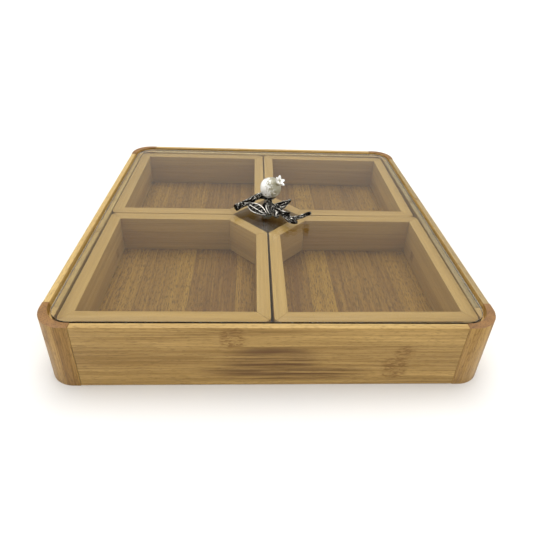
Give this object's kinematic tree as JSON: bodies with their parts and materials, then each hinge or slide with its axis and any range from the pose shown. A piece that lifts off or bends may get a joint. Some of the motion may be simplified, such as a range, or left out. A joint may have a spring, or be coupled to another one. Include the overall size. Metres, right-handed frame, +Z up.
{
  "type": "lidded snack server",
  "caption": "Low square bamboo serving box with rounded corner posts, lift-out trays round a diamond well, and a flush glass lid lifted by a cast pomegranate-branch handle.",
  "frame": {"origin": "centre of the underside, on the surface the box stands on", "axes": "+Z up, +X to the right, -Y to the front; the front is the side nearest the cut left end of the branch"},
  "size_m": [0.3, 0.3, 0.0826],
  "materials": {
    "case_bamboo": "satin lacquered bamboo, grain along each side, pale top edge",
    "post_bamboo": "satin lacquered bamboo, upright grain, brown end grain on top",
    "base_bamboo": "plain bamboo plywood",
    "tray_bamboo": "satin bamboo, fine grain along each wall",
    "floor_bamboo": "satin bamboo, glued strips running front to back",
    "glass": "clear float glass, ground edge",
    "antique_silver": "cast metal, blackened silver plate polished on its high spots",
    "pearl": "pearl enamel",
    "steel": "zinc-plated screw",
    "soft_washer": "clear soft plastic"
  },
  "bodies": {
    "case": {"case_front_side": "case_bamboo", "case_back_side": "case_bamboo", "case_left_side": "case_bamboo", "case_right_side": "case_bamboo", "corner_post_front_left": "post_bamboo", "corner_post_front_right": "post_bamboo", "corner_post_back_left": "post_bamboo", "corner_post_back_right": "post_bamboo", "base_panel": "base_bamboo"},
    "tray_front_left": {"tray_front_left_front_wall": "tray_bamboo", "tray_front_left_back_wall": "tray_bamboo", "tray_front_left_left_wall": "tray_bamboo", "tray_front_left_right_wall": "tray_bamboo", "tray_front_left_corner_wall": "tray_bamboo", "tray_front_left_floor": "floor_bamboo"},
    "tray_front_right": {"tray_front_right_front_wall": "tray_bamboo", "tray_front_right_back_wall": "tray_bamboo", "tray_front_right_left_wall": "tray_bamboo", "tray_front_right_right_wall": "tray_bamboo", "tray_front_right_corner_wall": "tray_bamboo", "tray_front_right_floor": "floor_bamboo"},
    "tray_back_left": {"tray_back_left_front_wall": "tray_bamboo", "tray_back_left_back_wall": "tray_bamboo", "tray_back_left_left_wall": "tray_bamboo", "tray_back_left_right_wall": "tray_bamboo", "tray_back_left_corner_wall": "tray_bamboo", "tray_back_left_floor": "floor_bamboo"},
    "tray_back_right": {"tray_back_right_front_wall": "tray_bamboo", "tray_back_right_back_wall": "tray_bamboo", "tray_back_right_left_wall": "tray_bamboo", "tray_back_right_right_wall": "tray_bamboo", "tray_back_right_corner_wall": "tray_bamboo", "tray_back_right_floor": "floor_bamboo"},
    "lid": {"lid_glass": "glass", "handle_washer_upper": "soft_washer", "handle_washer_lower": "soft_washer", "handle_screw": "steel", "handle_branch": "antique_silver", "handle_pomegranate": "pearl"}
  },
  "joints": [
    {"name": "lid_lift", "type": "slide", "parent": "case", "child": "lid", "axis": [0, 0, 1], "range_m": [0, 0.15]},
    {"name": "tray_front_left_lift", "type": "slide", "parent": "case", "child": "tray_front_left", "axis": [0, 0, 1], "range_m": [0, 0.06]},
    {"name": "tray_front_right_lift", "type": "slide", "parent": "case", "child": "tray_front_right", "axis": [0, 0, 1], "range_m": [0, 0.06]},
    {"name": "tray_back_left_lift", "type": "slide", "parent": "case", "child": "tray_back_left", "axis": [0, 0, 1], "range_m": [0, 0.06]},
    {"name": "tray_back_right_lift", "type": "slide", "parent": "case", "child": "tray_back_right", "axis": [0, 0, 1], "range_m": [0, 0.06]}
  ],
  "couplings": [
    {"joint": "tray_front_left_lift", "follows": "lid_lift", "ratio": 0.4},
    {"joint": "tray_front_right_lift", "follows": "lid_lift", "ratio": 0.4},
    {"joint": "tray_back_left_lift", "follows": "lid_lift", "ratio": 0.4},
    {"joint": "tray_back_right_lift", "follows": "lid_lift", "ratio": 0.4}
  ]
}
